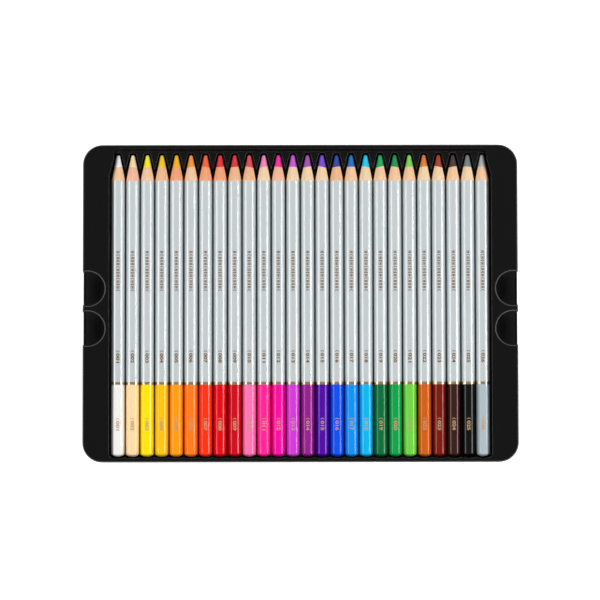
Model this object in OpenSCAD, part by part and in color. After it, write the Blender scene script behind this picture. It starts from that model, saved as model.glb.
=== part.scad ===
// Pencil tin: a shallow pressed tin base, a thermoformed tray that lifts out
// of it, and a row of coloured pencils that lift out of the tray.
// X runs across the row, Y along the pencils towards their tips, Z up.
// The origin is on the standing plane, at the centre of the tin.
// Sizes grow outward from the pencils: pencils, tray, tin.

/* [Pencils] */
// Whole length of a pencil, rounded end to tip
pencil_l = 176.6; // [160:0.1:190]
// Width across the flats of the hexagonal barrel
barrel_af = 7.1; // [6.9:0.05:7.3]
// Diameter over the rounded corners of the barrel
corner_d = 7.85; // [7.75:0.05:8]
// Angle between the sharpened cone and the pencil's axis
cone_angle = 11.4; // [11:0.2:14]
// Radius of the rounded point
tip_r = 1.1; // [0.6:0.05:1.2]
// Diameter of the colour core
core_d = 4.4; // [3.8:0.1:4.8]
// Height of the domed end
dome_h = 1.7; // [1:0.1:2.5]
// Length of casing behind the core
core_cover = 1.5; // [1:0.1:3]
// Gap left for the glue between core and casing
glue_gap = 0.03; // [0.02:0.01:0.06]

/* [Row of pencils in the tray] */
// Distance from one pencil's axis to the next
pencil_pitch = 8.51; // [8.4:0.01:9.5]
// Play between a pencil's corners and its groove
groove_play = 0.15; // [0.1:0.05:0.25]
// Depth of the ridges' tops below the pencils' axes
ridge_drop = 1.6; // [1.4:0.1:2.2]
// Axis of an outermost pencil to the recess's side wall
side_room = 5.2; // [5.1:0.05:5.6]
// Space between the pencils' ends and the ends of their grooves
groove_end_room = 0.3; // [0.2:0.05:0.4]
// Space between the pencils' ends and the cusps of the end wall
end_room = 0.5; // [0.5:0.05:1]
// Depth of each scallop in the end wall
scallop_depth = 0.6; // [0.4:0.05:0.8]
// Width of the blunt cusp between two scallops
cusp_w = 0.7; // [0.5:0.1:1.2]
// Radius of the recess's corners
recess_corner_r = 2.3; // [2.2:0.1:3]

/* [Tip pockets] */
// How far each groove runs on under the pencil's cone
groove_run_on = 7.2; // [6:0.1:8]
// How far past the start of the cones the pockets begin to narrow
pocket_shoulder = 2.9; // [2.5:0.1:3.5]
// Space between a tip and the end of its pocket
tip_room = 1.1; // [0.8:0.1:1.5]
// Half the width of a pocket at its narrow end
pocket_end_half = 1.95; // [1.7:0.05:2.2]
// Corner radius at the narrow end of a pocket
pocket_corner_r = 0.9; // [0.6:0.1:1.2]
// Depth of the pockets' floor below the pencils' axes
pocket_drop = 2.6; // [2.5:0.1:3]
// Land between the pockets and the slope up to the flange
tooth_land = 0.8; // [0.5:0.1:3]
// Depth of the teeth's tops below the flange
tooth_drop = 2.6; // [2:0.1:3]
// Width of the slope from the teeth's tops up to the flange
tooth_slope = 1.5; // [1.2:0.1:2.5]
// Land between the outermost pockets and the lowered panel's edge
tooth_side = 0.6; // [0.4:0.1:1.5]
// Corner radius of the lowered panel
tooth_corner_r = 3; // [2.6:0.1:4]

/* [Tray shell] */
// Thickness of the formed sheet
tray_sheet = 0.6; // [0.5:0.05:0.7]
// Height of the flange above the tin's floor panel
tray_h = 8.9; // [8.8:0.1:12]
// Width of the flange at each side of the recess
flange_side = 15.4; // [15:0.05:20]
// Width of the flange beyond the slope at the tips
flange_tip = 2.3; // [1.8:0.1:8]
// Width of the flange beyond the scalloped end wall
flange_end = 2.15; // [2:0.05:8]
// Thickness of the turned-down lip, where forming has thinned the sheet
lip_sheet = 0.35; // [0.3:0.05:0.5]
// Outside radius of the bend between the flange and its turned-down lip
lip_bend_r = 1; // [0.8:0.05:1.4]
// Depth of the lip below the top of the flange
lip_h = 2.2; // [1.8:0.1:3]
// Corner radius of the tray
tray_corner_r = 11.5; // [10.5:0.1:13]
// Gap between the grooves' undersides and the tin's panel
groove_lift = 0.05; // [0.05:0.05:0.2]

/* [Finger wells] */
// Radius of a well at the flange
well_r = 10.1; // [9:0.1:10.5]
// Distance between the centres of the two wells on one side
well_spacing = 23.3; // [22.8:0.1:26]
// Middle of a pair of wells, measured back from the tray's middle
well_setback = 3.1; // [0:0.1:10]
// Depth of a well's centre inside the tray's edge
well_inset = 2.8; // [2.4:0.05:3.4]
// How much narrower a well's radius is at its floor
well_draft = 0.2; // [0.1:0.05:0.3]
// Radius of a well's rounded lip
well_lip_r = 0.9; // [0.7:0.05:1.2]
// Radius of the bend that runs from a well's floor into its wall
well_bend_r = 6.4; // [4:0.2:6.6]

/* [Tin base] */
// Thickness of the tinplate
tin_sheet = 0.25; // [0.2:0.01:0.3]
// Play between the tin's wall and the tray, inside and outside
tray_play = 0.15; // [0.1:0.05:0.25]
// Gap between the tin's rim and the underside of the flange
rim_gap = 0.1; // [0.05:0.05:0.3]
// Outside radius of the bend between wall and floor
tin_bend_r = 0.8; // [0.7:0.05:1.2]
// Depth of the hem folded inward at the rim
hem_h = 2.4; // [2:0.1:4]
// Height of the pressed panel above the foot band
panel_rise = 0.5; // [0.4:0.05:0.8]
// Width of the foot band, from the wall to the panel's step
foot_band = 6.5; // [5:0.1:8]
// Width of the sloping step up to the panel
panel_step = 1; // [0.8:0.1:1.5]

/* [Hidden] */
// Colour of each pencil's core, from light to dark through the rainbow
CORE_COLOURS = [
    "#FAFAF7", // white
    "#F5D8A0", // peach
    "#F5E614", // lemon
    "#F0C814", // golden
    "#FFB400", // amber
    "#FF8728", // orange
    "#FA5032", // vermilion
    "#F02832", // red
    "#DC2837", // crimson
    "#E6465A", // pink
    "#F064B4", // rose
    "#F5289B", // magenta
    "#C850D8", // orchid
    "#A046B4", // purple
    "#7346D2", // violet
    "#324BAA", // blue
    "#1E6EC8", // azure
    "#28C8F0", // cyan
    "#14AA64", // dark green
    "#148C50", // green
    "#64C83C", // light green
    "#F08232", // sienna
    "#B43C23", // red brown
    "#5A463C", // dark brown
    "#6E7378", // black
    "#A0AAB4", // grey
];
pencil_count = len(CORE_COLOURS);
function two_digits(n) = str(n < 10 ? "0" : "", n);
function casing_name(n) = str("pencil_", two_digits(n), "_casing");
function core_name(n) = str("pencil_", two_digits(n), "_core");

$fn = 64;
over = 1; // how far a cut runs past the face it opens

// Pencil, measured along its axis from the rounded end
corner_r = corner_d / 2;
core_r = core_d / 2;
dome_r = (corner_r * corner_r + dome_h * dome_h) / (2 * dome_h);
// Distance from the end at which the cone has the given radius
function cone_at(r) = pencil_l - tip_r + tip_r * sin(cone_angle)
    - (r - tip_r * cos(cone_angle)) / tan(cone_angle);

// Heights
panel_z = tin_sheet + panel_rise;
groove_r = corner_r + groove_play;
axis_z = panel_z + groove_lift + tray_sheet + groove_r;
flange_z = panel_z + tray_h;
tooth_z = flange_z - tooth_drop;
ridge_z = axis_z - ridge_drop;
pocket_z = axis_z - pocket_drop;
rim_z = flange_z - tray_sheet - rim_gap;

// Plan: half sizes and places from the tin's centre
row_half = (pencil_count - 1) / 2 * pencil_pitch;
recess_half = row_half + side_room;
tray_half_l = recess_half + flange_side;
tray_w = flange_end + scallop_depth + end_room + pencil_l
    + tip_room + tooth_land + tooth_slope + flange_tip;
tray_half_w = tray_w / 2;
tray_x = tray_half_l - tray_corner_r;
tray_y = tray_half_w - tray_corner_r;
end_y = -tray_half_w + flange_end + scallop_depth + end_room;
cone_y = end_y + cone_at(corner_r);
tip_y = end_y + pencil_l;
cusp_y = end_y - end_room;
pocket_end_y = tip_y + tip_room;
slope_end_y = pocket_end_y + tooth_land + tooth_slope;
// Distances in from the tray's edge
tin_inset = lip_sheet + tray_play;
pan_inset = tin_inset + 2 * tin_sheet + tray_play;

function pencil_x(n) = (n - 1) * pencil_pitch - row_half;
function arc(c, r, from, to, steps = 6) =
    [for (i = [0:steps]) let (a = from + (to - from) * i / steps) c + r * [cos(a), sin(a)]];

// Carries a profile round a rounded rectangle whose corner centres are at
// +-half_l and +-half_w. The profile's X is the distance outward from them.
module carry_round(half_l, half_w) {
    for (quarter = [0:3]) {
        right = quarter == 0 || quarter == 3 ? 1 : -1;
        back = quarter < 2 ? 1 : -1;
        translate([right * half_l, back * half_w, 0])
            rotate([0, 0, 90 * quarter])
                rotate_extrude(angle = 90)
                    children();
    }
    for (side = [0, 180]) {
        rotate([0, 0, side])
            translate([half_l, 0, 0])
                rotate([90, 0, 0])
                    linear_extrude(2 * half_w, center = true)
                        children();
        rotate([0, 0, side + 90])
            translate([half_w, 0, 0])
                rotate([90, 0, 0])
                    linear_extrude(2 * half_l, center = true)
                        children();
    }
}

// Fills the rectangle between the corner centres, from z0 to z1
module middle_slab(half_l, half_w, z0, z1) {
    translate([-half_l, -half_w, z0])
        cube([2 * half_l, 2 * half_w, z1 - z0]);
}

// ---- Tin base ----

// Section through the floor, bend, wall and folded rim of the tin
module tin_section() {
    r = tray_corner_r - tin_inset;
    bend = [r - tin_bend_r, tin_bend_r];
    hem = [r - tin_sheet, rim_z - tin_sheet];
    step_in = r - foot_band;
    polygon(concat(
        [[0, panel_rise], [step_in - panel_step, panel_rise], [step_in, 0]],
        arc(bend, tin_bend_r, -90, 0),
        arc(hem, tin_sheet, 0, 180),
        [[r - 2 * tin_sheet, rim_z - hem_h], [r - tin_sheet, rim_z - hem_h]],
        arc(bend, tin_bend_r - tin_sheet, 0, -90),
        [[step_in, tin_sheet], [step_in - panel_step, panel_z], [0, panel_z]]
    ));
}

module tin_base() {
    color("#141416") {
        carry_round(tray_x, tray_y)
            tin_section();
        middle_slab(tray_x, tray_y, panel_rise, panel_z);
    }
}

// ---- Tray ----
// A flange whose lip hooks over the tin's rim, with the hollows' shells hung
// under it. Each shell is a block less its hollows, and less the same hollows
// grown by the thickness of the sheet, so one sheet runs everywhere.

// Section through the flange and its turned-down lip
module flange_section() {
    outer_bend = [tray_corner_r - lip_bend_r, flange_z - lip_bend_r];
    inner_r = lip_bend_r - tray_sheet;
    inner_x = tray_corner_r - lip_sheet;
    lip_z = flange_z - lip_h;
    polygon(concat(
        [[0, flange_z - tray_sheet]],
        arc([inner_x - inner_r, outer_bend.y], inner_r, 90, 0),
        [[inner_x, lip_z], [tray_corner_r, lip_z]],
        arc(outer_bend, lip_bend_r, 0, 90),
        [[0, flange_z]]
    ));
}

// Block under the flange, its sides set in from the tray's edge
module block(inset, bottom_z, top_z) {
    carry_round(tray_x, tray_y)
        translate([0, bottom_z])
            square([tray_corner_r - inset, top_z - bottom_z]);
    middle_slab(tray_x, tray_y, bottom_z, top_z);
}

// A box with rounded upright corners, from the low to the high corner
module rounded_box(low, high, r) {
    size = high - low;
    translate([low.x + r, low.y, low.z])
        cube([size.x - 2 * r, size.y, size.z]);
    translate([low.x, low.y + r, low.z])
        cube([size.x, size.y - 2 * r, size.z]);
    for (x = [low.x + r, high.x - r], y = [low.y + r, high.y - r])
        translate([x, y, low.z])
            cylinder(h = size.z, r = r);
}

// Room for the barrels, above the ridges
module recess(grow) {
    rounded_box(
        [-recess_half - grow, cusp_y - grow, ridge_z - grow],
        [recess_half + grow, cone_y + pocket_shoulder + grow, flange_z + over],
        recess_corner_r + grow
    );
}

// A length in whole hundredths of a millimetre, so that flats and corners meet exactly
function hundredths(length) = round(100 * length) / 100;

// Panel that lowers the teeth, with a slope up to the flange
module tooth_panel(grow) {
    r = tooth_corner_r;
    half_l = hundredths(row_half + pocket_end_half + tooth_side - r);
    half_w = hundredths((slope_end_y - cone_y) / 2 - r);
    shift = grow * tan(atan(tooth_drop / tooth_slope) / 2);
    translate([0, cone_y + r + half_w, 0]) {
        carry_round(half_l, half_w)
            polygon([
                [0, tooth_z - grow],
                [r - tooth_slope + shift, tooth_z - grow],
                [r + shift, flange_z - grow],
                [r + shift, flange_z + over],
                [0, flange_z + over]
            ]);
        middle_slab(half_l, half_w, tooth_z - grow, flange_z + over);
    }
}

// Round-bottomed groove under one barrel, and its scallop in the end wall
module groove(grow) {
    back_y = end_y - groove_end_room - grow;
    front_y = cone_y + groove_run_on + grow;
    translate([0, front_y, axis_z])
        rotate([90, 0, 0])
            cylinder(h = front_y - back_y, r = groove_r + grow);
    chord = pencil_pitch - cusp_w;
    scallop_r = (chord * chord / 4 + scallop_depth * scallop_depth) / (2 * scallop_depth);
    intersection() {
        translate([0, cusp_y - scallop_depth + scallop_r, ridge_z - grow])
            cylinder(h = flange_z + over - ridge_z + grow, r = scallop_r + grow, $fn = 180);
        translate([-chord / 2 - grow, cusp_y - scallop_depth - over, ridge_z - grow])
            cube([chord + 2 * grow, scallop_depth + 2 * over, flange_z + over - ridge_z + grow]);
    }
}

// Outline of the narrowing pocket round one cone, seen from above
module pocket_outline(grow) {
    start_y = cone_y + pocket_shoulder;
    half = pocket_end_half - pocket_corner_r;
    lean = atan((side_room - pocket_end_half) / (pocket_end_y - start_y));
    corner_y = pocket_end_y - pocket_corner_r;
    r = pocket_corner_r + grow;
    polygon(concat(
        [[side_room + grow, cone_y - grow], [side_room + grow, start_y]],
        arc([half, corner_y], r, lean, 90, 4),
        arc([-half, corner_y], r, 90, 180 - lean, 4),
        [[-side_room - grow, start_y], [-side_room - grow, cone_y - grow]]
    ));
}

module tip_pocket(grow) {
    translate([0, 0, pocket_z - grow])
        linear_extrude(flange_z + over - pocket_z + grow)
            pocket_outline(grow);
}

// Open-sided finger well: a bowl with a steep wall and a rounded lip
module finger_well(grow) {
    floor_z = panel_z + tray_sheet;
    bend = [well_r - well_draft - well_bend_r, floor_z + well_bend_r];
    lip = [well_r + well_lip_r, flange_z - well_lip_r];
    rotate_extrude($fn = 96)
        polygon(concat(
            [[0, floor_z - grow]],
            arc(bend, well_bend_r + grow, -90, 0, 12),
            arc(lip, well_lip_r - grow, 180, 90),
            [[lip.x, flange_z + over], [0, flange_z + over]]
        ));
}

module hollows(grow) {
    recess(grow);
    tooth_panel(grow);
    for (n = [1:pencil_count])
        translate([pencil_x(n), 0, 0]) {
            groove(grow);
            tip_pocket(grow);
        }
    for (side = [-1, 1], place = [-0.5, 0.5])
        translate([side * (tray_half_l - well_inset), place * well_spacing - well_setback, 0])
            finger_well(grow);
}

module tray() {
    color("#1A1A1A")
        difference() {
            union() {
                carry_round(tray_x, tray_y)
                    flange_section();
                middle_slab(tray_x, tray_y, flange_z - tray_sheet, flange_z);
                block(pan_inset, panel_z, flange_z - tray_sheet / 2);
            }
            hollows(0);
            difference() {
                block(pan_inset - tray_play, panel_z - over, flange_z - tray_sheet);
                hollows(tray_sheet);
            }
        }
}

// ---- Pencils ----

// Turned envelope of a pencil: domed end, barrel, cone and rounded point
module pencil_turning() {
    cone_start = cone_at(corner_r);
    point = [0, pencil_l - tip_r];
    rotate_extrude()
        union() {
            intersection() {
                translate([0, dome_r])
                    circle(r = dome_r, $fn = 180);
                square([corner_r, dome_h]);
            }
            polygon(concat(
                [[0, dome_h], [corner_r, dome_h], [corner_r, cone_start]],
                arc(point, tip_r, cone_angle, 90)
            ));
        }
}

// Stands a pencil piece along Y at its place in the row
module in_row(n) {
    translate([pencil_x(n), end_y, axis_z])
        rotate([-90, 0, 0])
            children();
}

// Hexagonal wooden casing with its blind bore, one flat up
module casing(n) {
    color("#C9D0D3")
        in_row(n)
            difference() {
                intersection() {
                    pencil_turning();
                    cylinder(h = pencil_l, r = barrel_af / sqrt(3), $fn = 6);
                }
                translate([0, 0, core_cover - glue_gap])
                    cylinder(h = pencil_l, r = core_r + glue_gap);
            }
}

// Colour core, sharpened with its casing
module core(n) {
    color(CORE_COLOURS[n - 1])
        in_row(n)
            rotate_extrude()
                polygon(concat(
                    [[0, core_cover], [core_r, core_cover], [core_r, cone_at(core_r)]],
                    arc([0, pencil_l - tip_r], tip_r, cone_angle, 90)
                ));
}

tin_base();
tray();
for (n = [1:pencil_count]) {
    casing(n);
    core(n);
}
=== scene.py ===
"""Colored pencil tin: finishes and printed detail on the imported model, in a plain white studio.

X runs across the row of pencils, Y along them towards their tips, Z up. Lengths are in metres.
"""

import math

import bmesh
import bpy
from mathutils import Matrix, Vector


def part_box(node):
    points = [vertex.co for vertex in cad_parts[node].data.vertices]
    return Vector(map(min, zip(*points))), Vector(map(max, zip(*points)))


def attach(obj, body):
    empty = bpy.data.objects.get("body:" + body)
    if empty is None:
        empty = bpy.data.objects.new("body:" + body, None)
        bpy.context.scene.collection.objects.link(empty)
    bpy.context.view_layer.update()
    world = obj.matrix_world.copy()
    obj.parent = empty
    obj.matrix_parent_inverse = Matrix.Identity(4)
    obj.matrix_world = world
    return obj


MM = 0.001
WHITE = (1.0, 1.0, 1.0, 1.0)

# ---- Pencils ----

# Each pencil's finishes: (lacquer of the dipped end, pigment of the core, tone of the bare wood)
PENCILS = [
    ("#F3F2ED", "#FFFFFC", "peach"),
    ("#FDDDA7", "#FFE3AD", "rosy"),
    ("#FFE500", "#FFEE0B", "peach"),
    ("#FFC400", "#FFCC0D", "sand"),
    ("#FF9E00", "#FFB900", "orange"),
    ("#FF7D12", "#FF9836", "peach"),
    ("#FF3208", "#FF633A", "orange"),
    ("#E10012", "#ED282D", "orange"),
    ("#D0001D", "#E53036", "sand"),
    ("#FF75B4", "#E14656", "sand"),
    ("#FF2098", "#FF86C0", "pale"),
    ("#F800A4", "#FC20A4", "rosy"),
    ("#D23AD6", "#D055D8", "pale"),
    ("#981A90", "#A950B2", "pale"),
    ("#5200A8", "#7947D7", "pale"),
    ("#0350EC", "#2E459E", "sand"),
    ("#0292EE", "#1170C0", "peach"),
    ("#00B8EE", "#12CCF4", "pale"),
    ("#006F38", "#06AB63", "peach"),
    ("#00A34A", "#099353", "peach"),
    ("#70D642", "#7ED857", "peach"),
    ("#D45F04", "#E38232", "pale"),
    ("#7E1200", "#AA4121", "pale"),
    ("#3A1A14", "#47362D", "peach"),
    ("#0A0A0A", "#778482", "pale"),
    ("#AFBDC4", "#B7BCBA", "peach"),
]
WOOD_TONES = {
    "pale": "#FFD9B1",
    "peach": "#FFCDA4",
    "sand": "#F6C095",
    "rosy": "#FFC0A2",
    "orange": "#FFAB7E",
}
SILVER = "#D8DEE0"
GOLD = "#D2C0A0"

# Where the finishes change along a pencil, from the tin's centre
DIP_END = -47.5 * MM
RING_END = -45.9 * MM
WOOD_START = 72.0 * MM
CORE_START = 79.9 * MM
EDGE_BLUR = 0.08 * MM

# The lacquer reaches further at the barrel's corners, and its end wanders a little
BARREL_CORNERS = 6.0
WOOD_LAG = 0.4 * MM
WOOD_WANDER = 1.2 * MM

# Each pencil was sharpened at its own slant: metres along per metre across
CORE_SLANT = 0.22
SLANT_TURN = 2.4  # radians from one pencil to the next

# How the casing's finishes differ in gloss and metal
BARREL_ROUNDING = 1.7 * MM
DIP_ROUGHNESS = 0.24
RING_EXTRA_ROUGHNESS = 0.05
SILVER_EXTRA_ROUGHNESS = 0.18
WOOD_EXTRA_ROUGHNESS = 0.4
SILVER_METALLIC = 0.4
DIP_COAT = 0.5
FIBRE_DEPTH = 0.02 * MM
FIBRE_STRETCH = 0.06
FIBRE_DARK, FIBRE_LIGHT = 0.82, 1.12  # times the wood's tone
WAX_ROUGHNESS = 0.45
CORE_WOOD_ROUGHNESS = 0.6
WAX_DEPTH = 0.015 * MM
WAX_DARK, WAX_LIGHT = 0.9, 1.06  # times the pigment

# ---- Tray and tin ----

TRAY_BLACK = "#090909"
TRAY_ROUGHNESS = 0.42
TRAY_GRAIN_ROUGHNESS = 0.12
TRAY_GRAIN_DEPTH = 0.004 * MM
LEVEL_BLUR = 0.3 * MM

# The tray's upper edges are painted pale, a painted highlight along their rounded bends
TRAY_EDGE_HIGHLIGHT = "#7C7C7C"
EDGE_ROUNDING = 0.5 * MM
EDGE_TILT = 0.83  # upward part of the rounded normal below which an edge is pale
EDGE_STEEP = 0.6  # and that of the face itself below which it stays black
EDGE_BLEND = 0.1
EDGE_DEPTH = 3.0 * MM

# So is the bend into the lip on the outer faces, as a fainter painted highlight
LIP_TILT = 0.97
LIP_BLEND = 0.04
LIP_DEPTH = 1.1 * MM
LIP_HIGHLIGHT = 0.14
LIP_OUTWARD = 20 * MM  # distance from the tray's middle to the plane of an outer face
LIP_OUTWARD_BLUR = 10 * MM

# The finger wells are duller, and carry painted light that grows towards their open mouths
WELL_REACH = 13.4 * MM
WELL_WALL = 4.0 * MM
WELL_DULLNESS = 0.35  # extra roughness
WELL_MOUTH_LIGHT = "#3C3C3C"

TIN_BLACK = "#121214"
TIN_ROUGHNESS = 0.28
TIN_SPECKLE_ROUGHNESS = 0.1
TIN_WAVE_DEPTH = 0.05 * MM

# ---- Noise textures: (cells per metre, octaves of detail) ----

WANDER_NOISE = (600.0, 1.0)
FIBRE_NOISE = (2600.0, 3.0)
WAX_NOISE = (1800.0, 2.0)
FOIL_NOISE = (3000.0, 2.0)
TRAY_NOISE = (2500.0, 2.0)
TIN_SPECKLE_NOISE = (1500.0, 3.0)
TIN_WAVE_NOISE = (40.0, 1.0)

BEVEL_SAMPLES = 8

# ---- Foil on the upper flat of each pencil ----

BARREL_FOIL = "#865E14"
DIP_FOIL = "#E0B48A"
FOIL_THICKNESS = 0.02 * MM
FOIL_ROUGHNESS = 0.2
FOIL_WEAR_ROUGHNESS = 0.25

ORNAMENT_START = 30.7 * MM
ORNAMENT_END = 6.7 * MM
ORNAMENT_CELLS = 14
ORNAMENT_HALF = 1.05 * MM
SIGN_HALF_LENGTH = 0.23  # of a cell
SIGN_STROKE = 0.22  # of a cell
LADDER_JOINT = 0.45  # of the ladder's half width

BARREL_NUMBER_Y = -31.2 * MM
BARREL_NUMBER_HEIGHT = 2.0 * MM
DIP_NUMBER_Y = -70.6 * MM
DIP_NUMBER_HEIGHT = 2.1 * MM
NUMBER_LENGTH = 7.2 * MM  # with the mark before it
MARK_LENGTH = 1.6 * MM  # with the space after it
MARK_INSET = 0.4 * MM
MARK_HALF_LENGTH = 0.3 * MM
MARK_STROKE = 0.35 * MM
DIGIT_BOLDNESS = 0.03
DIGIT_HALF_DEPTH = 0.5  # before the digits are flattened to foil

# ---- Camera: above the front edge, far away, looking almost straight down ----

SENSOR_WIDTH = 36.0
CLIP_START = 10 * MM
VIEW_WIDTH = 349.7 * MM
VIEW_DISTANCE = 2.0
VIEW_ELEVATION = math.radians(86.2)
VIEW_ROLL = math.radians(-0.09)
AIM_X = -0.2 * MM
AIM_Y = 1.7 * MM

# ---- Studio ----

LAMP_DISTANCE = 1.5
# Azimuth (0 is +X, 90 is +Y) and elevation in degrees, width and height, power in watts
SOFTBOXES = {
    "left": (180, 33, 1.0, 0.6, 10.5),
    "right": (0, 33, 0.5, 0.6, 12.2),
    "front": (270, 32, 1.2, 0.4, 4.6),
    "back": (90, 52, 2.0, 1.0, 4.2),
}
WORLD_LEVEL = 0.3
FLOOR_COLOUR = "#F4F4F4"
FLOOR_SIZE = 60.0
FLOOR_LIFT = 0.75

# Numbers of the Mix node's colour sockets
MIX_FACTOR = 0
MIX_LOW = 6
MIX_HIGH = 7
MIX_RESULT = 2


# ---- Colours and node trees ----

def linear(code):
    """Scene-linear colour of a #RRGGBB code."""
    channels = [int(code[i:i + 2], 16) / 255 for i in (1, 3, 5)]
    return [c / 12.92 if c <= 0.04045 else ((c + 0.055) / 1.055) ** 2.4 for c in channels] + [1.0]


def scaled(colour, times):
    """A linear colour made darker or lighter, up to full strength."""
    return [min(1.0, times * c) for c in colour[:3]] + [1.0]


def feed(tree, socket, value):
    """Links an output to a socket, or sets the socket to a plain value."""
    if isinstance(value, bpy.types.NodeSocket):
        tree.links.new(value, socket)
    else:
        socket.default_value = value


def add(tree, kind, inputs, output=0, **settings):
    """Adds a node, feeds its inputs by name or number, and returns one of its outputs."""
    node = tree.nodes.new(kind)
    for name, value in settings.items():
        setattr(node, name, value)
    for name, value in inputs.items():
        feed(tree, node.inputs[name], value)
    return node.outputs[output]


def maths(tree, operation, first, second=0.0, third=0.0):
    """One step of arithmetic on numbers or outputs."""
    return add(tree, "ShaderNodeMath", {0: first, 1: second, 2: third}, operation=operation)


def step_at(tree, value, place, blur=EDGE_BLUR):
    """0 below place and 1 above it, with a narrow soft edge. A negative blur turns it round."""
    shifted = maths(tree, "SUBTRACT", value, place)
    return add(
        tree, "ShaderNodeMapRange",
        {"Value": shifted, "From Min": -blur / 2, "From Max": blur / 2},
        interpolation_type="SMOOTHSTEP",
    )


def mix(tree, factor, low, high):
    """Colour that goes from low to high with factor."""
    return add(
        tree, "ShaderNodeMix",
        {MIX_FACTOR: factor, MIX_LOW: low, MIX_HIGH: high},
        output=MIX_RESULT, data_type="RGBA",
    )


def noise(tree, place, cells, detail):
    """Soft noise from 0 to 1, with so many cells in a metre."""
    return add(tree, "ShaderNodeTexNoise", {"Vector": place, "Scale": cells, "Detail": detail})


def bevel(tree, radius):
    """Surface normal as if the edges were rounded."""
    return add(tree, "ShaderNodeBevel", {"Radius": radius}, samples=BEVEL_SAMPLES)


def bump(tree, height, depth, normal=None):
    """Surface normal disturbed by a height from 0 to 1, depth metres deep."""
    inputs = {"Strength": 1.0, "Distance": depth, "Height": height}
    if normal is not None:
        inputs["Normal"] = normal
    return add(tree, "ShaderNodeBump", inputs)


def new_material(name, settings):
    """A material with one Principled shader, whose sockets take the given values."""
    material = bpy.data.materials.new(name)
    material.use_nodes = True
    shader = material.node_tree.nodes["Principled BSDF"]
    for socket, value in settings.items():
        shader.inputs[socket].default_value = value
    return material, material.node_tree, shader


def object_place(tree):
    """Where a point of the surface is when the piece is at rest, whatever the pose."""
    return add(tree, "ShaderNodeTexCoord", {}, output="Object")


def split(tree, vector):
    """The X, Y and Z of a vector."""
    parts = tree.nodes.new("ShaderNodeSeparateXYZ")
    tree.links.new(vector, parts.inputs[0])
    return parts.outputs["X"], parts.outputs["Y"], parts.outputs["Z"]


# ---- Pencil finishes ----

def core_edge(tree, across, number):
    """Where the pigment starts: each pencil was sharpened at its own slight slant."""
    slant = CORE_SLANT * math.sin(SLANT_TURN * number)
    return maths(tree, "MULTIPLY_ADD", across, slant, CORE_START)


def wood_edge(tree, place, across, up):
    """Where the lacquer ends: a little further on at the six corners, and never quite even."""
    angle = maths(tree, "ARCTAN2", up, across)
    corner = maths(tree, "COSINE", maths(tree, "MULTIPLY", angle, BARREL_CORNERS))
    even = maths(tree, "MULTIPLY_ADD", corner, -WOOD_LAG / 2, WOOD_START - WOOD_LAG / 2)
    wander = maths(tree, "SUBTRACT", noise(tree, place, *WANDER_NOISE), 0.5)
    return maths(tree, "MULTIPLY_ADD", wander, WOOD_WANDER, even)


def wood_colour(tree, place, tone):
    """Bare wood with fine dark and light fibres along Y, and the fibres themselves."""
    stretched = add(
        tree, "ShaderNodeVectorMath",
        {0: place, 1: (1.0, FIBRE_STRETCH, 1.0)}, operation="MULTIPLY",
    )
    fibres = noise(tree, stretched, *FIBRE_NOISE)
    base = linear(tone)
    return mix(tree, fibres, scaled(base, FIBRE_DARK), scaled(base, FIBRE_LIGHT)), fibres


def casing_material(number, dip, pigment, tone):
    """Dip, gold ring, silver lacquer, bare wood and pigment, one after another along Y."""
    low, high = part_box(f"pencil_{number:02d}_casing")
    axis = (low + high) / 2
    material, tree, shader = new_material(
        f"casing_{number:02d}",
        {"Coat Roughness": 0.17, "IOR": 1.5, "Specular IOR Level": 0.0},
    )
    place = object_place(tree)
    x, y, z = split(tree, place)
    across = maths(tree, "SUBTRACT", x, axis.x)
    up = maths(tree, "SUBTRACT", z, axis.z)

    past_dip = step_at(tree, y, DIP_END)
    past_ring = step_at(tree, y, RING_END)
    past_lacquer = step_at(tree, y, wood_edge(tree, place, across, up))
    past_wood = step_at(tree, y, core_edge(tree, across, number))
    in_ring = maths(tree, "SUBTRACT", past_dip, past_ring)
    in_silver = maths(tree, "SUBTRACT", past_ring, past_lacquer)

    wood, fibres = wood_colour(tree, place, tone)
    colour = mix(tree, past_dip, linear(dip), linear(GOLD))
    colour = mix(tree, past_ring, colour, linear(SILVER))
    colour = mix(tree, past_lacquer, colour, wood)
    colour = mix(tree, past_wood, colour, linear(pigment))
    feed(tree, shader.inputs["Base Color"], colour)

    metal = maths(tree, "MULTIPLY_ADD", in_silver, SILVER_METALLIC, in_ring)
    feed(tree, shader.inputs["Metallic"], metal)
    rough = maths(tree, "MULTIPLY_ADD", in_silver, SILVER_EXTRA_ROUGHNESS, DIP_ROUGHNESS)
    rough = maths(tree, "MULTIPLY_ADD", in_ring, RING_EXTRA_ROUGHNESS, rough)
    rough = maths(tree, "MULTIPLY_ADD", past_lacquer, WOOD_EXTRA_ROUGHNESS, rough)
    feed(tree, shader.inputs["Roughness"], rough)
    coat = maths(tree, "MULTIPLY_ADD", past_ring, -DIP_COAT, DIP_COAT)
    feed(tree, shader.inputs["Coat Weight"], coat)

    grain = maths(tree, "MULTIPLY", fibres, past_lacquer)
    radius = maths(tree, "MULTIPLY_ADD", past_lacquer, -BARREL_ROUNDING, BARREL_ROUNDING)
    feed(tree, shader.inputs["Normal"], bump(tree, grain, FIBRE_DEPTH, bevel(tree, radius)))
    return material


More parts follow.
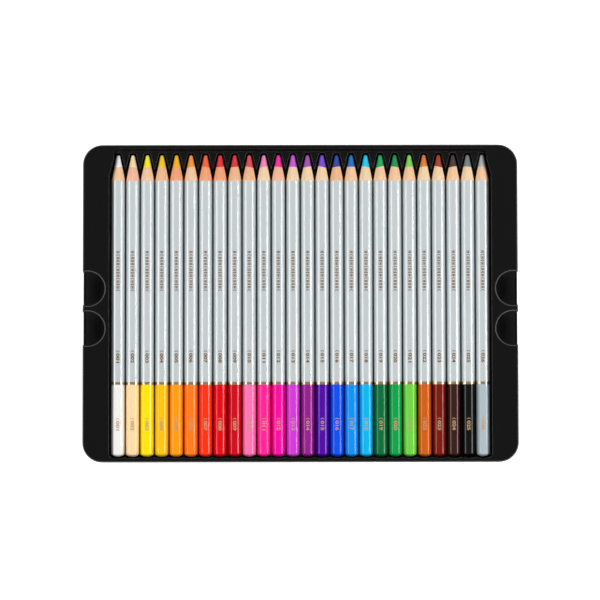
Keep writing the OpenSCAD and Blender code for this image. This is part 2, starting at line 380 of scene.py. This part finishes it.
def core_material(number, pigment, tone):
    """Waxy pigment, and the tone of the wood up to where the pigment starts."""
    low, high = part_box(f"pencil_{number:02d}_core")
    axis = (low + high) / 2
    material, tree, shader = new_material(f"core_{number:02d}", {"IOR": 1.45})
    place = object_place(tree)
    x, y, _ = split(tree, place)
    across = maths(tree, "SUBTRACT", x, axis.x)
    past_wood = step_at(tree, y, core_edge(tree, across, number))
    wood, _ = wood_colour(tree, place, tone)
    wax = noise(tree, place, *WAX_NOISE)
    base = linear(pigment)
    waxy = mix(tree, wax, scaled(base, WAX_DARK), scaled(base, WAX_LIGHT))
    feed(tree, shader.inputs["Base Color"], mix(tree, past_wood, wood, waxy))
    smoother = WAX_ROUGHNESS - CORE_WOOD_ROUGHNESS
    rough = maths(tree, "MULTIPLY_ADD", past_wood, smoother, CORE_WOOD_ROUGHNESS)
    feed(tree, shader.inputs["Roughness"], rough)
    feed(tree, shader.inputs["Normal"], bump(tree, wax, WAX_DEPTH))
    return material


def foil_material(name, colour):
    """Pressed foil, unevenly worn."""
    material, tree, shader = new_material(
        name,
        {"Base Color": linear(colour), "Metallic": 0.5, "IOR": 1.5, "Specular IOR Level": 0.3},
    )
    worn = noise(tree, object_place(tree), *FOIL_NOISE)
    rough = maths(tree, "MULTIPLY_ADD", worn, FOIL_WEAR_ROUGHNESS, FOIL_ROUGHNESS)
    feed(tree, shader.inputs["Roughness"], rough)
    return material


# ---- Tray and tin finishes ----

def painted_edge_highlights(tree, place, height, top, rounded):
    """How strongly the tray's edges are painted with a pale highlight, from 0 to 1: its upper
    edges, and the bend into its lip.
    """
    tilt = split(tree, rounded)[2]
    face = add(tree, "ShaderNodeNewGeometry", {}, output="True Normal")
    leaning = step_at(tree, tilt, EDGE_TILT, -EDGE_BLEND)
    upright = step_at(tree, split(tree, face)[2], EDGE_STEEP, EDGE_BLEND)
    raised = step_at(tree, height, top - EDGE_DEPTH, LEVEL_BLUR)
    edge = maths(tree, "MULTIPLY", maths(tree, "MULTIPLY", leaning, upright), raised)

    outward = add(
        tree, "ShaderNodeVectorMath",
        {0: place, 1: face}, output="Value", operation="DOT_PRODUCT",
    )
    outer = step_at(tree, outward, LIP_OUTWARD, LIP_OUTWARD_BLUR)
    lip = maths(tree, "MULTIPLY", outer, step_at(tree, tilt, LIP_TILT, -LIP_BLEND))
    lip = maths(tree, "MULTIPLY", lip, step_at(tree, height, top - LIP_DEPTH, LEVEL_BLUR))
    return maths(tree, "MAXIMUM", edge, maths(tree, "MULTIPLY", lip, LIP_HIGHLIGHT))


def tray_material():
    """Black formed sheet with a very fine grain and duller wells, with painted pale highlights on
    its edges and painted light in its wells towards their mouths.
    """
    material, tree, shader = new_material(
        "tray_plastic",
        {"IOR": 1.45, "Specular IOR Level": 0.15},
    )
    place = object_place(tree)
    x, _, height = split(tree, place)
    side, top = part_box("tray")[1].x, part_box("tray")[1].z
    grain = noise(tree, place, *TRAY_NOISE)

    sunk = maths(tree, "SUBTRACT", 1.0, step_at(tree, height, top - LIP_DEPTH, LEVEL_BLUR))
    past_row = maths(tree, "SUBTRACT", maths(tree, "ABSOLUTE", x), side - WELL_REACH)
    in_well = maths(tree, "MULTIPLY", sunk, maths(tree, "GREATER_THAN", past_row, 0.0))
    rough = maths(tree, "MULTIPLY_ADD", in_well, WELL_DULLNESS, TRAY_ROUGHNESS)
    rough = maths(tree, "MULTIPLY_ADD", grain, TRAY_GRAIN_ROUGHNESS, rough)
    feed(tree, shader.inputs["Roughness"], rough)

    # Painted light: the wells' floors lighten towards their open mouths
    towards_mouth = add(
        tree, "ShaderNodeMapRange",
        {"Value": past_row, "From Min": WELL_WALL, "From Max": WELL_REACH},
    )
    mouth_light = maths(tree, "MULTIPLY", sunk, towards_mouth)
    black = mix(tree, mouth_light, linear(TRAY_BLACK), linear(WELL_MOUTH_LIGHT))
    rounded = bevel(tree, EDGE_ROUNDING)
    edge = painted_edge_highlights(tree, place, height, top, rounded)
    # Painted highlight: the edges' pale colour stands in for light caught on their bends
    feed(tree, shader.inputs["Base Color"], mix(tree, edge, black, linear(TRAY_EDGE_HIGHLIGHT)))
    feed(tree, shader.inputs["Normal"], bump(tree, grain, TRAY_GRAIN_DEPTH, rounded))
    return material


def tin_material():
    """Black baked lacquer on tinplate, with the faint waviness of rolled sheet."""
    material, tree, shader = new_material(
        "tin_lacquer",
        {"Base Color": linear(TIN_BLACK), "Coat Weight": 0.4, "Coat Roughness": 0.1, "IOR": 1.5},
    )
    place = object_place(tree)
    speckle = noise(tree, place, *TIN_SPECKLE_NOISE)
    waves = noise(tree, place, *TIN_WAVE_NOISE)
    rough = maths(tree, "MULTIPLY_ADD", speckle, TIN_SPECKLE_ROUGHNESS, TIN_ROUGHNESS)
    feed(tree, shader.inputs["Roughness"], rough)
    feed(tree, shader.inputs["Normal"], bump(tree, waves, TIN_WAVE_DEPTH))
    return material


def paint(node, material):
    """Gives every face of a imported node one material."""
    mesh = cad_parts[node].data
    mesh.materials.clear()
    mesh.materials.append(material)
    for face in mesh.polygons:
        face.material_index = 0


# ---- Foil ornament and numbers ----

def add_prism(bm, outline, low_z, high_z):
    """Closed prism over an outline of (x, y) points, counter-clockwise."""
    low = [bm.verts.new((x, y, low_z)) for x, y in outline]
    high = [bm.verts.new((x, y, high_z)) for x, y in outline]
    bm.faces.new(reversed(low))
    bm.faces.new(high)
    for i in range(len(outline)):
        j = (i + 1) % len(outline)
        bm.faces.new((low[i], low[j], high[j], high[i]))


def bar(x, y, width, length):
    """Outline of a bar across the pencil: width along X, length along Y."""
    half_w, half_l = width / 2, length / 2
    return [
        (x - half_w, y - half_l), (x + half_w, y - half_l),
        (x + half_w, y + half_l), (x - half_w, y + half_l),
    ]


def limb(start, end, width):
    """Outline of a straight stroke between two (x, y) points."""
    start, end = Vector(start), Vector(end)
    along = (end - start).normalized() * width / 2
    side = Vector((-along.y, along.x))
    return [tuple(start - side), tuple(end - side), tuple(end + side), tuple(start + side)]


def lozenge(x, y, half_w, half_l, stroke):
    """Four strokes from corner to corner."""
    corners = [(x + half_w, y), (x, y + half_l), (x - half_w, y), (x, y - half_l)]
    return [limb(corners[i], corners[(i + 1) % 4], stroke) for i in range(4)]


def chevron(x, y, half_w, half_l, stroke):
    """A V that points along +Y."""
    return [
        limb((x - half_w, y - half_l), (x, y + half_l), stroke),
        limb((x, y + half_l), (x + half_w, y - half_l), stroke),
    ]


def ladder(x, y, half_w, half_l, stroke):
    """Two bars across the pencil, joined in the middle."""
    return [
        bar(x, y + half_l, 2 * half_w, stroke),
        bar(x, y - half_l, 2 * half_w, stroke),
        bar(x, y, LADDER_JOINT * half_w, 2 * half_l - stroke),
    ]


def ornament(x):
    """A dense row of ladders, chevrons and lozenges along the pencil."""
    pitch = (ORNAMENT_START - ORNAMENT_END) / ORNAMENT_CELLS
    outlines = []
    for cell in range(ORNAMENT_CELLS):
        sign = (ladder, chevron, ladder, lozenge)[cell % 4]
        y = ORNAMENT_START - (cell + 0.5) * pitch
        outlines += sign(x, y, ORNAMENT_HALF, SIGN_HALF_LENGTH * pitch, SIGN_STROKE * pitch)
    return outlines


def number_mesh(number, x, y, low_z, height, length):
    """A three-digit number, read along the pencil from its tip, as thin raised foil."""
    curve = bpy.data.curves.new("number", "FONT")
    curve.body = f"{number:03d}"
    curve.size = 1.0
    curve.extrude = DIGIT_HALF_DEPTH
    curve.offset = DIGIT_BOLDNESS
    curve.resolution_u = 3
    maker = bpy.data.objects.new("number", curve)
    mesh = bpy.data.meshes.new_from_object(maker)
    bpy.data.objects.remove(maker)

    xs = [vertex.co.x for vertex in mesh.vertices]
    ys = [vertex.co.y for vertex in mesh.vertices]
    underside = Vector(((min(xs) + max(xs)) / 2, (min(ys) + max(ys)) / 2, -DIGIT_HALF_DEPTH))
    fit = Matrix.Diagonal((
        length / (max(xs) - min(xs)),
        height / (max(ys) - min(ys)),
        FOIL_THICKNESS / (2 * DIGIT_HALF_DEPTH),
        1.0,
    ))
    turned = Matrix.Rotation(-math.pi / 2, 4, "Z")
    to_pencil = Matrix.Translation((x, y, low_z))
    mesh.transform(to_pencil @ turned @ fit @ Matrix.Translation(-underside))
    return mesh


def marked_number(number, x, y, low_z, height):
    """A short mark across the pencil and the number after it: outlines, and the digits' mesh."""
    mark_y = y + NUMBER_LENGTH / 2 - MARK_INSET
    mark = chevron(x, mark_y, height / 2, MARK_HALF_LENGTH, MARK_STROKE)
    digits_y = y - MARK_LENGTH / 2
    digits = number_mesh(number, x, digits_y, low_z, height, NUMBER_LENGTH - MARK_LENGTH)
    return mark, digits


def foil_piece(name, body, outlines, digits, low_z, material):
    """One object of foil that rides on a pencil."""
    bm = bmesh.new()
    bm.from_mesh(digits)
    bpy.data.meshes.remove(digits)
    for outline in outlines:
        add_prism(bm, outline, low_z, low_z + FOIL_THICKNESS)
    mesh = bpy.data.meshes.new(name)
    bm.to_mesh(mesh)
    bm.free()
    mesh.materials.append(material)
    piece = bpy.data.objects.new(name, mesh)
    bpy.context.scene.collection.objects.link(piece)
    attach(piece, body)


def print_foil(number, barrel_foil, dip_foil):
    """The ornament and number on a pencil's barrel, and the number on its dip."""
    low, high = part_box(f"pencil_{number:02d}_casing")
    x = (low.x + high.x) / 2
    body = f"pencil_{number:02d}"
    mark, digits = marked_number(number, x, BARREL_NUMBER_Y, high.z, BARREL_NUMBER_HEIGHT)
    foil_piece(f"{body}_foil", body, ornament(x) + mark, digits, high.z, barrel_foil)
    mark, digits = marked_number(number, x, DIP_NUMBER_Y, high.z, DIP_NUMBER_HEIGHT)
    foil_piece(f"{body}_dip_number", body, mark, digits, high.z, dip_foil)


# ---- Studio ----

def make_floor():
    """A floor that looks white to the camera and in reflections, and keeps the tin's shadow."""
    bpy.ops.mesh.primitive_plane_add(size=FLOOR_SIZE, location=(0, 0, 0))
    floor = bpy.context.object
    floor.name = "floor"
    material, tree, shader = new_material(
        "floor",
        {
            "Base Color": linear(FLOOR_COLOUR),
            "Roughness": 0.9,
            "Specular IOR Level": 0.0,
            "Emission Color": WHITE,
        },
    )
    path = tree.nodes.new("ShaderNodeLightPath")
    seen = maths(tree, "MAXIMUM", path.outputs["Is Camera Ray"], path.outputs["Is Glossy Ray"])
    seen = maths(tree, "MAXIMUM", seen, path.outputs["Is Transmission Ray"])
    feed(tree, shader.inputs["Emission Strength"], maths(tree, "MULTIPLY", seen, FLOOR_LIFT))
    floor.data.materials.append(material)


def softbox(name, azimuth, elevation, width, height, power):
    """A rectangular lamp that faces the tin."""
    light = bpy.data.lights.new(name, "AREA")
    light.shape = "RECTANGLE"
    light.size = width
    light.size_y = height
    light.energy = power
    lamp = bpy.data.objects.new(name, light)
    bpy.context.scene.collection.objects.link(lamp)
    turn, rise = math.radians(azimuth), math.radians(elevation)
    level = math.cos(rise)
    away = Vector((level * math.cos(turn), level * math.sin(turn), math.sin(rise)))
    lamp.location = LAMP_DISTANCE * away
    lamp.rotation_euler = away.to_track_quat("Z", "Y").to_euler()


def make_world():
    """Even white light from all around."""
    world = bpy.data.worlds.new("studio")
    bpy.context.scene.world = world
    world.use_nodes = True
    background = world.node_tree.nodes["Background"]
    background.inputs["Color"].default_value = WHITE
    background.inputs["Strength"].default_value = WORLD_LEVEL


def make_camera():
    """The photograph's view."""
    data = bpy.data.cameras.new("camera")
    data.sensor_width = SENSOR_WIDTH
    data.lens = SENSOR_WIDTH * VIEW_DISTANCE / VIEW_WIDTH
    data.clip_start = CLIP_START
    camera = bpy.data.objects.new("camera", data)
    bpy.context.scene.collection.objects.link(camera)
    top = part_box("tray")[1].z
    back = Vector((0, -math.cos(VIEW_ELEVATION), math.sin(VIEW_ELEVATION)))
    camera.location = Vector((AIM_X, AIM_Y, top)) + VIEW_DISTANCE * back
    tipped = Matrix.Rotation(math.pi / 2 - VIEW_ELEVATION, 3, "X")
    camera.rotation_euler = (tipped @ Matrix.Rotation(VIEW_ROLL, 3, "Z")).to_euler()
    bpy.context.scene.camera = camera


# ---- The scene ----

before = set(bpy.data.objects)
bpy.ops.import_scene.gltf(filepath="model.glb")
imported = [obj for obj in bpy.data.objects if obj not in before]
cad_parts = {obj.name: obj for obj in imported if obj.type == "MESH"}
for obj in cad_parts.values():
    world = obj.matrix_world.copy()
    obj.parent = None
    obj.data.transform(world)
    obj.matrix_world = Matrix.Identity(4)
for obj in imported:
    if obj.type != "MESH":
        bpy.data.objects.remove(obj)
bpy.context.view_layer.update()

paint("tray", tray_material())
paint("tin_base", tin_material())
barrel_foil = foil_material("foil_gold", BARREL_FOIL)
dip_foil = foil_material("foil_pale_gold", DIP_FOIL)
for number, (dip, pigment, tone) in enumerate(PENCILS, start=1):
    wood = WOOD_TONES[tone]
    paint(f"pencil_{number:02d}_casing", casing_material(number, dip, pigment, wood))
    paint(f"pencil_{number:02d}_core", core_material(number, pigment, wood))
    print_foil(number, barrel_foil, dip_foil)

make_floor()
make_world()
for name, setup in SOFTBOXES.items():
    softbox(name, *setup)
make_camera()

bpy.context.scene.view_settings.view_transform = "Standard"
